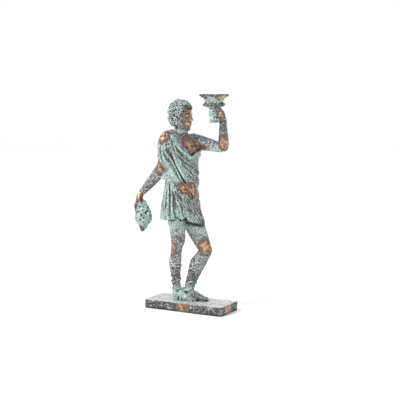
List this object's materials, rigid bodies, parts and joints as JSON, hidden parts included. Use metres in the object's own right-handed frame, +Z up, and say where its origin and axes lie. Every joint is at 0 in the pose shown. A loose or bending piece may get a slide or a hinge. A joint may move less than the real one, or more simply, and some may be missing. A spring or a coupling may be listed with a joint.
{
  "type": "bronze dionysus statuette",
  "caption": "Bronze figure of a draped youth lifting a wine cup and holding grapes, standing on an oblong plinth.",
  "frame": {"origin": "centre of the plinth's underside", "axes": "+X along the plinth, the way the figure faces; +Y to the figure's left; +Z up"},
  "size_m": [0.1133, 0.0611, 0.2578],
  "materials": {
    "figure_bronze": "dark bronze under speckled blue-green verdigris, rubbed to golden brown on its high spots",
    "plinth_bronze": "pale verdigris on top, mottled dark bronze sides with two rubbed golden-brown bands"
  },
  "bodies": {
    "root": {"figure": "figure_bronze", "plinth": "plinth_bronze"}
  },
  "joints": []
}
